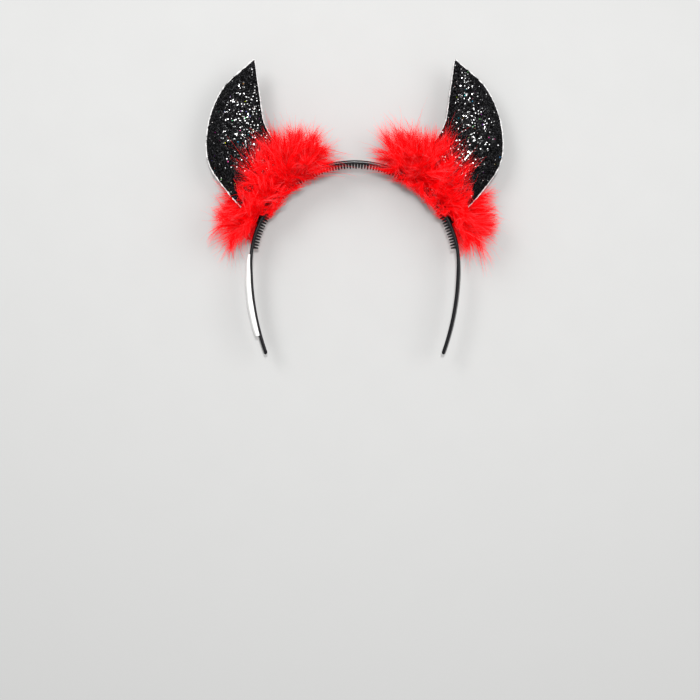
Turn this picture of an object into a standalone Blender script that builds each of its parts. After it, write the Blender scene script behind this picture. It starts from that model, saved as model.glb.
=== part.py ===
"""Devil horns headband: a plastic band with comb teeth, two padded horns and a marabou strand round each.

The band's own plane is X and Y, with its tips at the bottom and the horns at the top.
+Z points the way the wearer faces, so the whole lies on its back, on the feathers behind the horns.
"""
import math

import bmesh
import bpy
import numpy as np
from mathutils import Matrix, Vector

# Band, in metres
CROWN_RADIUS = 0.076
BAND_HEIGHT = 0.139
TIP_SPREAD = 0.130
BAND_THICKNESS = 0.0024
CROWN_WIDTH = 0.010
TIP_WIDTH = 0.006
BAND_EDGE_ROUND = 0.0005
BAND_STATIONS = 61
TIP_STATIONS = 4
TIP_END_SHARE = 0.3

# Comb teeth
TOOTH_HEIGHT = 0.0032
TOOTH_LENGTH = 0.0019
TOOTH_PITCH = 0.0044
TEETH_REACH_ANGLE = math.radians(80)
TOOTH_ROOT = 0.0005
TOOTH_ROW_SHARE = 0.24
TOOTH_WIDTH_SHARE = 0.30
TOOTH_TIP_SHARE = 0.45

# Label
LABEL_START = 0.110
LABEL_LENGTH = 0.059
LABEL_THICKNESS = 0.0010
LABEL_FOLD = 0.0019
LABEL_STATIONS = 13

# Horns
HORN_HEIGHT = 0.098
HORN_REACH = 0.0475
HORN_INNER_ANGLE = math.radians(34)
HORN_OUTER_ANGLE = math.radians(66)
HORN_THICKNESS = 0.018
HORN_CLOTH = 0.0008
HORN_TIP_WIDTH = 0.0016
HORN_ROWS = 15
HORN_COLUMNS = 8
HORN_ROUNDNESS = 0.6

# Each row of an edge is a point: sideways as a share of HORN_REACH, upwards as a share of HORN_HEIGHT
OUTER_EDGE = (
    {"out": 0.69, "up": 0.05},
    {"out": 0.97, "up": 0.26},
    {"out": 0.98, "up": 0.52},
    {"out": 0.77, "up": 0.78},
)
INNER_EDGE = (
    {"out": -0.07, "up": 0.38},
    {"out": 0.12, "up": 0.54},
    {"out": 0.19, "up": 0.74},
)
HORN_TIP = {"out": 0.28, "up": 1.0}

# Marabou: the strand's core and the locks that stand out of it
MARABOU_START_ANGLE = math.radians(19)
MARABOU_END_ANGLE = math.radians(73)
CORE_BELOW = 0.004
CORE_ABOVE = 0.022
CORE_FRONT = 0.017
CORE_BACK = 0.011
CORE_SIDES = 14
CORE_RINGS = 11
CORE_BLUNTNESS = 3
LOCKS = 56
LOCK_LENGTH = 0.015
LOCK_RADIUS = 0.0052
LOCK_TIP_RADIUS = 0.0010
LOCK_ROOT = 0.003
LOCK_LEAN = 0.5
SHORTEST_LOCK_SHARE = 0.35

# Clearance between neighbours, and the distance below which a cut's corners are one
GAP = 0.0003
WELD = 0.000001

ARM_DROP = BAND_HEIGHT - CROWN_RADIUS
ARM_INSET = CROWN_RADIUS - TIP_SPREAD / 2
ARM_RADIUS = (ARM_DROP**2 + ARM_INSET**2) / (2 * ARM_INSET)
QUARTER = CROWN_RADIUS * math.pi / 2
HALF_LENGTH = QUARTER + ARM_RADIUS * math.asin(ARM_DROP / ARM_RADIUS)


def clear_scene():
    for old in list(bpy.data.objects):
        bpy.data.objects.remove(old, do_unlink=True)


def collection(name):
    made = bpy.data.collections.new(name)
    bpy.context.scene.collection.children.link(made)
    return made


def material(name, colour, roughness, metallic=0.0):
    made = bpy.data.materials.new(name)
    made.use_nodes = True
    shader = made.node_tree.nodes["Principled BSDF"]
    shader.inputs["Base Color"].default_value = (*colour, 1.0)
    shader.inputs["Roughness"].default_value = roughness
    shader.inputs["Metallic"].default_value = metallic
    return made


def band_point(arc):
    """Point and outward direction on the band's outer line, at a signed length from the crown's top.

    The crown is half a circle; each arm is a wider arc that leaves it without a kink and bends in to the tip.
    """
    side = -1.0 if arc < 0 else 1.0
    run = abs(arc)
    if run <= QUARTER:
        angle = run / CROWN_RADIUS
        across = CROWN_RADIUS * math.sin(angle)
        up = ARM_DROP + CROWN_RADIUS * math.cos(angle)
        normal = (math.sin(angle), math.cos(angle))
    else:
        angle = (run - QUARTER) / ARM_RADIUS
        across = CROWN_RADIUS - ARM_RADIUS * (1 - math.cos(angle))
        up = ARM_DROP - ARM_RADIUS * math.sin(angle)
        normal = (math.cos(angle), -math.sin(angle))
    return Vector((side * across, up, 0.0)), Vector((side * normal[0], normal[1], 0.0))


def on_band(arc, height, depth):
    """Point at a height above the band's outer line and a depth in front of its middle plane."""
    point, outward = band_point(arc)
    return point + outward * height + Vector((0.0, 0.0, depth))


def band_width(arc):
    share = abs(arc) / HALF_LENGTH
    return CROWN_WIDTH + (TIP_WIDTH - CROWN_WIDTH) * share


def rounded_width(arc):
    """The band's width, drawn in to a half circle at each tip."""
    width = band_width(arc)
    radius = TIP_WIDTH / 2
    past = abs(arc) - (HALF_LENGTH - radius)
    if past <= 0:
        return width
    return width * math.sqrt(max(1 - (past / radius) ** 2, TIP_END_SHARE**2))


def band_stations():
    """Signed lengths from one tip to the other, closer together where a tip rounds off."""
    radius = TIP_WIDTH / 2
    straight = HALF_LENGTH - radius
    main = np.linspace(-straight, straight, BAND_STATIONS + 1)
    tip = straight + radius * np.sin(np.linspace(0, math.pi / 2, TIP_STATIONS + 1)[1:])
    return [*(-tip[::-1]), *main, *tip]


def new_object(name, bm, home, finish=None):
    """Puts a bmesh into a new object; the faces of a closed shape are turned outwards."""
    if not any(edge.is_boundary for edge in bm.edges):
        bmesh.ops.recalc_face_normals(bm, faces=bm.faces)
    mesh = bpy.data.meshes.new(name)
    bm.to_mesh(mesh)
    bm.free()
    made = bpy.data.objects.new(name, mesh)
    home.objects.link(made)
    if finish:
        mesh.materials.append(finish)
    if home.name == "cutters":
        made.hide_render = True
        made.display_type = "WIRE"
    return made


def grid_faces(bm, rows):
    """Joins rows of points into a sheet of four-sided faces and gives back its vertices."""
    sheet = [[bm.verts.new(point) for point in row] for row in rows]
    for low, high in zip(sheet, sheet[1:]):
        for i in range(len(low) - 1):
            bm.faces.new((low[i], low[i + 1], high[i + 1], high[i]))
    return sheet


def add_solidify(target, thickness, offset):
    shell = target.modifiers.new("thickness", "SOLIDIFY")
    shell.thickness = thickness
    shell.offset = offset
    shell.use_even_offset = True


def add_bevel(target, width):
    bevel = target.modifiers.new("rounded edges", "BEVEL")
    bevel.width = width
    bevel.segments = 1
    bevel.limit_method = "ANGLE"
    bevel.angle_limit = math.radians(50)
    bevel.use_clamp_overlap = False


def add_boolean(target, tool, operation, overlapping=False):
    step = target.modifiers.new(f"{operation.lower()} {tool.name}", "BOOLEAN")
    step.operation = operation
    step.object = tool
    step.solver = "EXACT"
    step.use_self = overlapping


def keep_main_body(target):
    """Applies the joins and cuts, and drops the chips and inner bubbles that cutting locks can leave."""
    bpy.context.view_layer.update()
    graph = bpy.context.evaluated_depsgraph_get()
    mesh = bpy.data.meshes.new_from_object(target.evaluated_get(graph))
    target.modifiers.clear()
    target.data = mesh
    bm = bmesh.new()
    bm.from_mesh(mesh)
    bmesh.ops.remove_doubles(bm, verts=bm.verts, dist=WELD)
    bmesh.ops.dissolve_degenerate(bm, edges=bm.edges, dist=WELD)
    unseen = set(bm.faces)
    bodies = []
    while unseen:
        reached = [unseen.pop()]
        for face in reached:
            beside = {other for edge in face.edges for other in edge.link_faces} & unseen
            unseen -= beside
            reached += beside
        bodies.append(reached)
    bodies.sort(key=lambda body: sum(face.calc_area() for face in body))
    for chip in bodies[:-1]:
        bmesh.ops.delete(bm, geom=chip, context="FACES")
    bm.to_mesh(mesh)
    bm.free()


def shade(target):
    target.data.shade_smooth()
    target.data.set_sharp_from_angle(angle=math.radians(40))


def band_sheet(name, home, spare=0.0, finish=None):
    """The band's outer face as an open sheet, raised and widened by the spare amount, facing outwards."""
    bm = bmesh.new()
    rows = []
    for arc in band_stations():
        half = rounded_width(arc) / 2 + spare
        rows.append([on_band(arc, spare, -half), on_band(arc, spare, half)])
    grid_faces(bm, rows)
    return new_object(name, bm, home, finish)


def teeth(home):
    """Two rows of blunt four-sided teeth on the band's inner face, the rows half a pitch apart."""
    bm = bmesh.new()
    reach = TEETH_REACH_ANGLE * CROWN_RADIUS
    count = int(2 * reach / TOOTH_PITCH)
    top = -BAND_THICKNESS + TOOTH_ROOT
    height = TOOTH_HEIGHT + TOOTH_ROOT
    for row in (-1, 1):
        for k in range(count):
            arc = (k - (count - 1) / 2 + row / 4) * TOOTH_PITCH
            width = band_width(arc)
            _, outward = band_point(arc)
            along = outward.cross(Vector((0, 0, 1)))
            middle = on_band(arc, top - height / 2, row * TOOTH_ROW_SHARE * width)
            half_long = TOOTH_LENGTH / 2
            half_wide = TOOTH_WIDTH_SHARE * width / 2
            sides = Matrix((along * half_long, Vector((0, 0, half_wide)), -outward)).transposed()
            quarter = Matrix.Rotation(math.pi / 4, 4, "Z")
            bmesh.ops.create_cone(
                bm,
                cap_ends=True,
                segments=4,
                radius1=math.sqrt(2),
                radius2=math.sqrt(2) * TOOTH_TIP_SHARE,
                depth=height,
                matrix=Matrix.Translation(middle) @ sides.to_4x4() @ quarter,
            )
    return new_object("teeth", bm, home)


def headband(home, cutters):
    """A curved strip of even thickness, narrower at its tips, with the teeth joined to its inner face."""
    finish = material("black moulded plastic", (0.012, 0.012, 0.014), 0.18)
    band = band_sheet("headband", home, finish=finish)
    add_solidify(band, BAND_THICKNESS, -1)
    add_bevel(band, BAND_EDGE_ROUND)
    add_boolean(band, teeth(cutters), "UNION")
    shade(band)


def label(home):
    """A strip that lies on the left arm's outer face and folds over its front edge."""
    bm = bmesh.new()
    rows = []
    for arc in np.linspace(-LABEL_START - LABEL_LENGTH, -LABEL_START, LABEL_STATIONS):
        half = band_width(arc) / 2
        front = half + GAP
        corner = on_band(arc, GAP, front)
        rows.append([on_band(arc, GAP, -half), corner, on_band(arc, -LABEL_FOLD, front)])
    grid_faces(bm, rows)
    strip = new_object("label", bm, home, material("white label", (0.9, 0.9, 0.88), 0.6))
    add_solidify(strip, LABEL_THICKNESS, 1)
    shade(strip)


def smooth_line(points, shares):
    """Points at shares of the way along a curve of cubic pieces, each end's slope taken from its neighbours."""
    points = np.array([tuple(point)[:2] for point in points])
    places = np.cumsum(np.r_[0, np.linalg.norm(np.diff(points, axis=0), axis=1)])
    places /= places[-1]
    slopes = np.gradient(points, places, axis=0)
    piece = np.clip(np.searchsorted(places, shares, side="right") - 1, 0, len(points) - 2)
    span = (places[piece + 1] - places[piece])[:, None]
    u = (shares - places[piece])[:, None] / span
    start = points[piece] * (2 * u**3 - 3 * u**2 + 1) + slopes[piece] * span * (u**3 - 2 * u**2 + u)
    end = points[piece + 1] * (3 * u**2 - 2 * u**3) + slopes[piece + 1] * span * (u**3 - u**2)
    return start + end


def horn_outline(shares):
    """The inner and outer edges of the right horn, from the band to the tip."""
    middle = band_point((HORN_INNER_ANGLE + HORN_OUTER_ANGLE) / 2 * CROWN_RADIUS)[0]

    def place(row, sideways=0.0):
        return middle + Vector((row["out"] * HORN_REACH + sideways, row["up"] * HORN_HEIGHT, 0.0))

    inner_foot = on_band(HORN_INNER_ANGLE * CROWN_RADIUS, GAP, 0)
    outer_foot = on_band(HORN_OUTER_ANGLE * CROWN_RADIUS, GAP, 0)
    inner = [inner_foot, *map(place, INNER_EDGE), place(HORN_TIP, -HORN_TIP_WIDTH / 2)]
    outer = [outer_foot, *map(place, OUTER_EDGE), place(HORN_TIP, HORN_TIP_WIDTH / 2)]
    return smooth_line(inner, shares), smooth_line(outer, shares)


def horn_surface():
    """Rows of points over one horn's outline, and the padding's height at each.

    A row runs from the inner edge to the outer one. The lowest row follows the band, and that bend dies away
    towards the tip. The height is a rounded hump across the row, as high as the horn is wide there.
    """
    up = np.linspace(0, 1, HORN_ROWS + 1)
    across = (1 - np.cos(np.linspace(0, math.pi, HORN_COLUMNS + 1))) / 2
    inner, outer = horn_outline(up)
    flat = inner[:, None] * (1 - across)[None, :, None] + outer[:, None] * across[None, :, None]
    angles = HORN_INNER_ANGLE + (HORN_OUTER_ANGLE - HORN_INNER_ANGLE) * across
    foot = np.array([tuple(on_band(angle * CROWN_RADIUS, GAP, 0))[:2] for angle in angles])
    flat += ((1 - up) ** 2)[:, None, None] * (foot - flat[0])[None]
    width = np.linalg.norm(outer - inner, axis=1)
    foot_pad = band_width(HORN_OUTER_ANGLE * CROWN_RADIUS) / 2 - HORN_CLOTH - GAP / 2
    full_pad = HORN_THICKNESS / 2 - HORN_CLOTH - GAP / 2
    near_foot = (1 - up) ** 3
    pad = foot_pad * near_foot + full_pad * width / width.max() * (1 - near_foot)
    hump = (4 * across * (1 - across)) ** HORN_ROUNDNESS
    return flat, pad[:, None] * hump[None]


def horn_form(name, side, lower, upper, home, finish=None):
    """A closed form over one horn's outline, between two heights given at each point as arrays."""
    flat, _ = horn_surface()
    bm = bmesh.new()
    sheets = []
    for height in (lower, upper):
        rows = []
        for row, levels in zip(flat, height):
            rows.append([Vector((side * x, y, z)) for (x, y), z in zip(row, levels)])
        sheets.append(grid_faces(bm, rows))
    below, above = sheets
    rims = []
    for sheet in (below, above):
        right = [row[-1] for row in sheet[1:-1]]
        left = [row[0] for row in sheet[1:-1]]
        rims.append(sheet[0] + right + sheet[-1][::-1] + left[::-1])
    for i in range(len(rims[0])):
        j = (i + 1) % len(rims[0])
        bm.faces.new((rims[0][i], rims[0][j], rims[1][j], rims[1][i]))
    return new_object(name, bm, home, finish)


def horn(word, side, home, cutters):
    """Front and back padded panels that meet at the seam; gives back a fuller form that feathers are cut by."""
    finish = material(f"black glitter cloth {word}", (0.03, 0.03, 0.035), 0.45, 0.4)
    _, pad = horn_surface()
    seam = np.full_like(pad, GAP / 2)
    outside = seam + HORN_CLOTH + pad
    panels = [
        horn_form(f"horn_{word}_front", side, seam, outside, home, finish),
        horn_form(f"horn_{word}_back", side, -outside, -seam, home, finish),
    ]
    for panel in panels:
        shade(panel)
    clear = horn_form(f"room for horn {word}", side, -outside, outside, cutters)
    swell = clear.modifiers.new("clearance", "DISPLACE")
    swell.strength = GAP * math.sqrt(2)
    swell.mid_level = 0
    return clear


def marabou_place(side, along, up, front):
    """Maps a point of a unit ball to the strand's core, and gives the direction out of the core there.

    The first share runs along the band, the second away from the wearer's head and the third to the front.
    The core is a blunt-ended oval roll that is bent along the band.
    """
    start = MARABOU_START_ANGLE * CROWN_RADIUS
    end = MARABOU_END_ANGLE * CROWN_RADIUS
    half_high = (CORE_ABOVE + CORE_BELOW) / 2
    half_deep = (CORE_FRONT + CORE_BACK) / 2
    full = (1 - abs(along) ** CORE_BLUNTNESS) ** 0.5 / max((1 - along**2) ** 0.5, 1e-6)
    arc = (start + end) / 2 + (end - start) / 2 * along
    height = (CORE_ABOVE - CORE_BELOW) / 2 + half_high * full * up
    depth = (CORE_FRONT - CORE_BACK) / 2 + half_deep * full * front
    point = on_band(side * arc, height, depth)
    _, outward = band_point(side * arc)
    forward = outward.cross(Vector((0, 0, 1))) * side
    slope = Vector((along / (end - start) * 2, up / half_high, front / half_deep)).normalized()
    return point, (forward * slope.x + outward * slope.y + Vector((0, 0, slope.z))).normalized()


def marabou_locks(word, side, home):
    """Pointed tufts all round the strand, evenly scattered on a spiral, each leaning its own way.

    They are shorter towards the wearer's head and behind, where the band and the horn press on them.
    """
    chance = np.random.default_rng(5 if side < 0 else 11)
    bm = bmesh.new()
    for k in range(LOCKS):
        along = 1 - (2 * k + 1) / LOCKS
        turn = k * math.pi * (3 - math.sqrt(5))
        ring = math.sqrt(1 - along**2)
        up, front = ring * math.cos(turn), ring * math.sin(turn)
        point, outward = marabou_place(side, along, up, front)
        lean = Vector(chance.normal(0, LOCK_LEAN, 3))
        aim = (outward + lean - outward * lean.dot(outward)).normalized()
        free = min(1, max(0, up, abs(along)))
        share = SHORTEST_LOCK_SHARE + (1 - SHORTEST_LOCK_SHARE) * free
        length = LOCK_LENGTH * share * chance.uniform(0.8, 1.15)
        middle = point + aim * (length - LOCK_ROOT) / 2
        turn = aim.to_track_quat("Z", "Y").to_matrix().to_4x4()
        bmesh.ops.create_cone(
            bm,
            cap_ends=True,
            segments=5,
            radius1=LOCK_RADIUS,
            radius2=LOCK_TIP_RADIUS,
            depth=length + LOCK_ROOT,
            matrix=Matrix.Translation(middle) @ turn,
        )
    return new_object(f"locks {word}", bm, home)


def marabou(word, side, home, cutters, room):
    """A thick strand round the horn's base and over the band, its locks joined to it, cut clear of both."""
    bm = bmesh.new()
    bmesh.ops.create_uvsphere(bm, u_segments=CORE_SIDES, v_segments=CORE_RINGS, radius=1)
    for vertex in bm.verts:
        up, front, along = vertex.co
        vertex.co = marabou_place(side, along, up, front)[0]
    finish = material(f"red marabou {word}", (0.8, 0.0, 0.0), 0.9)
    strand = new_object(f"marabou_{word}", bm, home, finish)
    add_boolean(strand, marabou_locks(word, side, cutters), "UNION", overlapping=True)
    for tool in room:
        add_boolean(strand, tool, "DIFFERENCE")
    keep_main_body(strand)


def set_down(root, parts):
    """Moves the whole so that it is centred on the origin and its lowest point is at height zero."""
    bpy.context.view_layer.update()
    graph = bpy.context.evaluated_depsgraph_get()
    points = []
    for part in parts:
        shape = part.evaluated_get(graph)
        points += [part.matrix_world @ vertex.co for vertex in shape.data.vertices]
    low = [min(point[axis] for point in points) for axis in range(3)]
    high = [max(point[axis] for point in points) for axis in range(3)]
    root.location = (-(low[0] + high[0]) / 2, -(low[1] + high[1]) / 2, -low[2])


def main():
    clear_scene()
    home = collection("devil_horns_headband")
    cutters = collection("cutters")
    headband(home, cutters)
    label(home)
    channel = band_sheet("room for band", cutters, spare=GAP)
    add_solidify(channel, BAND_THICKNESS + TOOTH_HEIGHT + CORE_BELOW + LOCK_LENGTH, -1)
    for word, side in (("left", -1), ("right", 1)):
        room = horn(word, side, home, cutters)
        marabou(word, side, home, cutters, (room, channel))
    root = bpy.data.objects.new("headband_root", None)
    home.objects.link(root)
    parts = [made for made in home.objects if made.type == "MESH"]
    for made in [*parts, *cutters.objects]:
        made.parent = root
    set_down(root, parts)


main()
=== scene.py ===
"""Dresses the devil horns headband: moulded band, folded label, padded glitter horns and marabou feathers."""

import math

import bpy
import numpy as np
from bpy.props import FloatProperty, FloatVectorProperty, IntProperty, PointerProperty
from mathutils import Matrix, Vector


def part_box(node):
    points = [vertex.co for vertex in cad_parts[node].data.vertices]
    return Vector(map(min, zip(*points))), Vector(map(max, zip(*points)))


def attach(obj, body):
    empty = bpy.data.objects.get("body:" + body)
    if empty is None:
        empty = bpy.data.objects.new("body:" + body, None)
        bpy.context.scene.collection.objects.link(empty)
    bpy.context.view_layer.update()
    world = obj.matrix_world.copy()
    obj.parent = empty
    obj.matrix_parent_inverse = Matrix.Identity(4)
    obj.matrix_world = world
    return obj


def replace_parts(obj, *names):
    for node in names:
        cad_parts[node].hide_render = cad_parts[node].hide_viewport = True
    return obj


bl_info = {
    "name": "Devil Horns Headband",
    "version": (1, 0, 0),
    "blender": (4, 5, 0),
    "location": "View3D > Sidebar > Headband",
    "description": "Band, label, padded glitter horns and marabou feathers of a costume headband",
    "category": "Add Mesh",
}

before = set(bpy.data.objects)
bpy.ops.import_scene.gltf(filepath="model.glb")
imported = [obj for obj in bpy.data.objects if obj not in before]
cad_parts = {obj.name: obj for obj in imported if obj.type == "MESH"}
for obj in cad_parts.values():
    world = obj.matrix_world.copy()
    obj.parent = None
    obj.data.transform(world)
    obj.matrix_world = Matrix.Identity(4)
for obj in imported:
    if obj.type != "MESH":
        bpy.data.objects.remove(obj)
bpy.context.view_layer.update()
BAND_LOW, BAND_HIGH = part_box("headband")
MIDDLE_Z = (BAND_LOW.z + BAND_HIGH.z) / 2
GAP = 0.0003
SIDES = (("left", -1), ("right", 1))

# A point of a horn's edge: sideways as a share of the horn's reach, upwards as a share of its height
OUTER_EDGE = (
    {"out": 0.69, "up": 0.05},
    {"out": 0.97, "up": 0.26},
    {"out": 0.98, "up": 0.52},
    {"out": 0.77, "up": 0.78},
)
INNER_EDGE = (
    {"out": -0.07, "up": 0.38},
    {"out": 0.12, "up": 0.54},
    {"out": 0.19, "up": 0.74},
)
HORN_TIP = {"out": 0.28, "up": 1.0}
TIP_HALF_WIDTH = 0.0008

# The square grid that holds the horn's thickness
CELL = 0.0005
CELLS = 600
LOWEST_BARB = 0.0001


def length(name, default, description):
    return FloatProperty(name=name, description=description, default=default, unit="LENGTH", precision=4)


def colour(name, default, description):
    return FloatVectorProperty(name=name, description=description, default=default, subtype="COLOR", size=3)


def angle(name, degrees, description):
    return FloatProperty(name=name, description=description, default=math.radians(degrees), subtype="ANGLE")


def share(name, default, description):
    return FloatProperty(name=name, description=description, default=default, subtype="FACTOR")


def number(name, default, description):
    return IntProperty(name=name, description=description, default=default, min=1)


class BandSettings(bpy.types.PropertyGroup):
    """Sizes and colour of the moulded band and its comb teeth."""

    radius: length("Crown radius", (BAND_HIGH.x - BAND_LOW.x) / 2, "Outer radius of the crown")
    height: length("Height", 0.139, "From the tips to the top of the crown")
    spread: length("Tip spread", 0.130, "Between the outer faces of the two tips")
    thickness: length("Thickness", 0.0024, "Thickness of the strip")
    crown_width: length("Crown width", BAND_HIGH.z - BAND_LOW.z, "Width of the strip at the crown")
    tip_width: length("Tip width", 0.006, "Width of the strip at its tips")
    edge: length("Edge radius", 0.0009, "Rounding of the strip's long edges")
    twist: angle("Twist", 14, "How far the arms' front edges lean in towards the head")
    tooth_height: length("Tooth height", 0.0032, "How far the comb teeth stand off the inner face")
    tooth_length: length("Tooth length", 0.0019, "Length of a tooth along the band")
    tooth_pitch: length("Tooth pitch", 0.0044, "From tooth to tooth in one row")
    tooth_reach: angle("Toothed reach", 80, "Angle from the crown's top to the last tooth")
    plastic: colour("Plastic", (0.002, 0.002, 0.0025), "Colour of the moulded plastic")


class LabelSettings(bpy.types.PropertyGroup):
    """Sizes and colour of the blank label folded round the left arm."""

    start: length("Start", 0.110, "From the crown's top to the label's upper end, along the band")
    run: length("Length", 0.059, "Length of the label along the band")
    thickness: length("Thickness", 0.0008, "Thickness of the folded label")
    fold: length("Fold", 0.0004, "How far the label covers the band's front edge")
    bulge: length("Bulge", 0.0017, "How far the label stands off the band at its fullest")
    paper: colour("Paper", (0.52, 0.52, 0.51), "Colour of the label")


class HornSettings(bpy.types.PropertyGroup):
    """Sizes and colours of the padded horns and their glitter."""

    height: length("Height", 0.098, "From the middle of the horn's foot to its tip")
    reach: length("Reach", 0.0475, "From the middle of the horn's foot to its outermost point")
    inner_angle: angle("Inner foot", 34, "Angle from the crown's top to the foot's inner end")
    outer_angle: angle("Outer foot", 66, "Angle from the crown's top to the foot's outer end")
    thickness: length("Thickness", 0.018, "Thickness of the padding at its fullest")
    lip: length("Lip", 0.0008, "Thickness of each panel's cloth at the seam")
    flakes: number("Flakes", 15000, "Glitter flakes on each horn")
    silver: number("Silver flakes", 640, "Bright flakes on each horn")
    flake: length("Flake radius", 0.00042, "Radius of the largest flakes")
    cloth: colour("Cloth", (0.001, 0.001, 0.0012), "Colour of the cloth under the glitter")
    backing: colour("Backing", (0.60, 0.59, 0.585), "Colour of the cloth's cut edge")


class MarabouSettings(bpy.types.PropertyGroup):
    """Sizes and colours of the feather strands."""

    start: angle("Start", 19, "Angle from the crown's top to the strand's upper end")
    end: angle("End", 73, "Angle from the crown's top to the strand's lower end")
    below: length("Below", 0.004, "How far the strand's core reaches inside the band's outer line")
    above: length("Above", 0.022, "How far the strand's core stands off the band's outer line")
    front: length("Front", 0.017, "How far the core reaches to the front")
    back: length("Back", 0.011, "How far the core reaches to the back")
    locks: number("Locks", 56, "Main plumes of each strand")
    lock: length("Lock length", 0.015, "Length of the longest main plumes")
    barbs: number("Barbs", 24000, "Barbs of each strand")
    barb: length("Barb length", 0.011, "Length of the barbs")
    # The root colour is darker than the tips: painted shade deep in the fluff near the quills
    root: colour("Root", (0.86, 0.0, 0.002), "Colour near the quill")
    tip: colour("Tip", (1.0, 0.004, 0.007), "Colour of the barbs' ends")
    # The pale ends are painted highlight: a share of barbs lighter and pinker at their ends, as lit strands
    pale: colour("Pale tip", (1.0, 0.17, 0.19), "Colour of the palest barbs' ends")
    highlight_barb_share: share("Pale share", 0.22, "Share of the barbs that are pale")


class StageSettings(bpy.types.PropertyGroup):
    """The floor, the lights and the camera."""

    floor: colour("Floor", (0.27, 0.27, 0.267), "Colour of the floor")
    distance: length("Camera distance", 0.89, "From the band's plane to the camera")
    foot_x: length("Camera foot X", -0.0033, "Sideways place that the camera stands over")
    foot_y: length("Camera foot Y", -0.0393, "Lengthways place that the camera stands over")
    pitch: angle("Pitch", 4.0, "How far the camera leans towards the band's tips")
    lens: FloatProperty(name="Lens", description="Focal length in millimetres", default=63.6)


class HeadbandSettings(bpy.types.PropertyGroup):
    """All the settings of the headband."""

    band: PointerProperty(type=BandSettings)
    label: PointerProperty(type=LabelSettings)
    horn: PointerProperty(type=HornSettings)
    marabou: PointerProperty(type=MarabouSettings)
    stage: PointerProperty(type=StageSettings)


def settings():
    return bpy.context.scene.headband


def operator(operation, reflected=False):
    """A method that makes one Math node, its sides swapped for the reflected form."""

    def method(self, other):
        first, second = (other, self) if reflected else (self, other)
        return self.finish.add("ShaderNodeMath", {0: first, 1: second}, operation=operation)

    return method


class Value:
    """A node's output. Sums, differences, products, quotients and powers with it are Math nodes."""

    __add__, __radd__ = operator("ADD"), operator("ADD", True)
    __sub__, __rsub__ = operator("SUBTRACT"), operator("SUBTRACT", True)
    __mul__, __rmul__ = operator("MULTIPLY"), operator("MULTIPLY", True)
    __truediv__, __rtruediv__ = operator("DIVIDE"), operator("DIVIDE", True)
    __pow__, __rpow__ = operator("POWER"), operator("POWER", True)

    def __init__(self, finish, socket):
        self.finish, self.socket = finish, socket


class Finish:
    """A material whose nodes are made one call at a time."""

    def __init__(self, name):
        self.material = bpy.data.materials.new(name)
        self.material.use_nodes = True
        self.tree = self.material.node_tree
        self.shader = self.tree.nodes["Principled BSDF"]

    def feed(self, socket, value):
        if isinstance(value, Value):
            self.tree.links.new(value.socket, socket)
        else:
            socket.default_value = value

    def add(self, kind, inputs=None, output=0, **options):
        """One node of any kind: its settings first, then what its sockets take."""
        node = self.tree.nodes.new(kind)
        for name, option in options.items():
            setattr(node, name, option)
        for key, value in (inputs or {}).items():
            self.feed(node.inputs[key], value)
        return Value(self, node.outputs[output])

    def place(self):
        return self.add("ShaderNodeTexCoord", output="Object")

    def noise(self, scale, detail, roughness=0.5):
        inputs = {"Vector": self.place(), "Scale": scale, "Detail": detail, "Roughness": roughness}
        return self.add("ShaderNodeTexNoise", inputs, "Fac")

    def mix(self, factor, first, second):
        """Colour between two colours."""
        return self.add("ShaderNodeMix", {0: factor, 6: first, 7: second}, 2, data_type="RGBA")

    def bump(self, height, strength, distance):
        return self.add("ShaderNodeBump", {"Height": height, "Strength": strength, "Distance": distance})

    def set(self, values):
        for key, value in values.items():
            self.feed(self.shader.inputs[key], value)
        return self.material


def tone(colour, factor=1.0, lift=0.0):
    """A socket's colour from a setting's, made lighter or darker."""
    return (*(factor * part + lift for part in colour), 1.0)


def plastic_finish():
    """Gloss black moulded plastic: faint flow marks in the sheen and a slight waviness."""
    finish = Finish("gloss_black_plastic")
    cloudy = finish.noise(160, 3)
    fine = finish.noise(2600, 2)
    black = settings().band.plastic
    return finish.set({
        "Base Color": finish.mix(cloudy, tone(black), tone(black, 2, 0.001)),
        "Roughness": cloudy * 0.10 + fine * 0.08 + 0.10,
        "Specular IOR Level": 0.10,
        "Normal": finish.bump(cloudy + fine * 0.15, 0.12, 0.0006),
    })


def paper_finish():
    """Plain white coated paper, slightly fibrous and a little grubby."""
    finish = Finish("white_label_paper")
    fibre = finish.noise(5200, 4, 0.7)
    grime = finish.noise(240, 3)
    white = settings().label.paper
    return finish.set({
        "Base Color": finish.mix(grime * 0.5, tone(white), tone(white, 0.86)),
        "Roughness": fibre * 0.25 + 0.42,
        "Normal": finish.bump(fibre, 0.25, 0.0002),
    })


def cloth_finish():
    """Black cloth under the glitter: coarse dark grain with grey specks between the flakes."""
    finish = Finish("black_glitter_cloth")
    cells = {"Vector": finish.place(), "Scale": 1900.0}
    grain = finish.add("ShaderNodeTexVoronoi", cells, "Distance", feature="F1")
    specks = finish.add("ShaderNodeTexVoronoi", cells, "Color", feature="F1")
    lone = finish.add("ShaderNodeSeparateColor", {0: specks}, 0)
    dark = tone(settings().horn.cloth)
    return finish.set({
        "Base Color": finish.mix(lone**6, dark, tone((0.03, 0.03, 0.033))),
        "Roughness": 0.62 - lone * 0.3,
        "Normal": finish.bump(grain, 0.7, 0.0003),
        "Specular IOR Level": 0.02,
    })


def flake_finish():
    """Metallised glitter: each flake's own tint comes from the piece's attribute."""
    finish = Finish("glitter_flakes")
    tint = finish.add("ShaderNodeVertexColor", output="Color", layer_name="tint")
    return finish.set({"Base Color": tint, "Metallic": 1.0, "Roughness": 0.3})


def edge_finish():
    """The white backing that shows at the cloth's cut edge, fuzzy and slightly grey in places."""
    finish = Finish("white_cut_edge")
    fuzz = finish.noise(3800, 5, 0.75)
    white = tone(settings().horn.backing)
    return finish.set({
        "Base Color": finish.mix(fuzz**2, white, tone((0.12, 0.12, 0.12))),
        "Roughness": 0.9,
        "Normal": finish.bump(fuzz, 0.6, 0.0003),
    })


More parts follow.
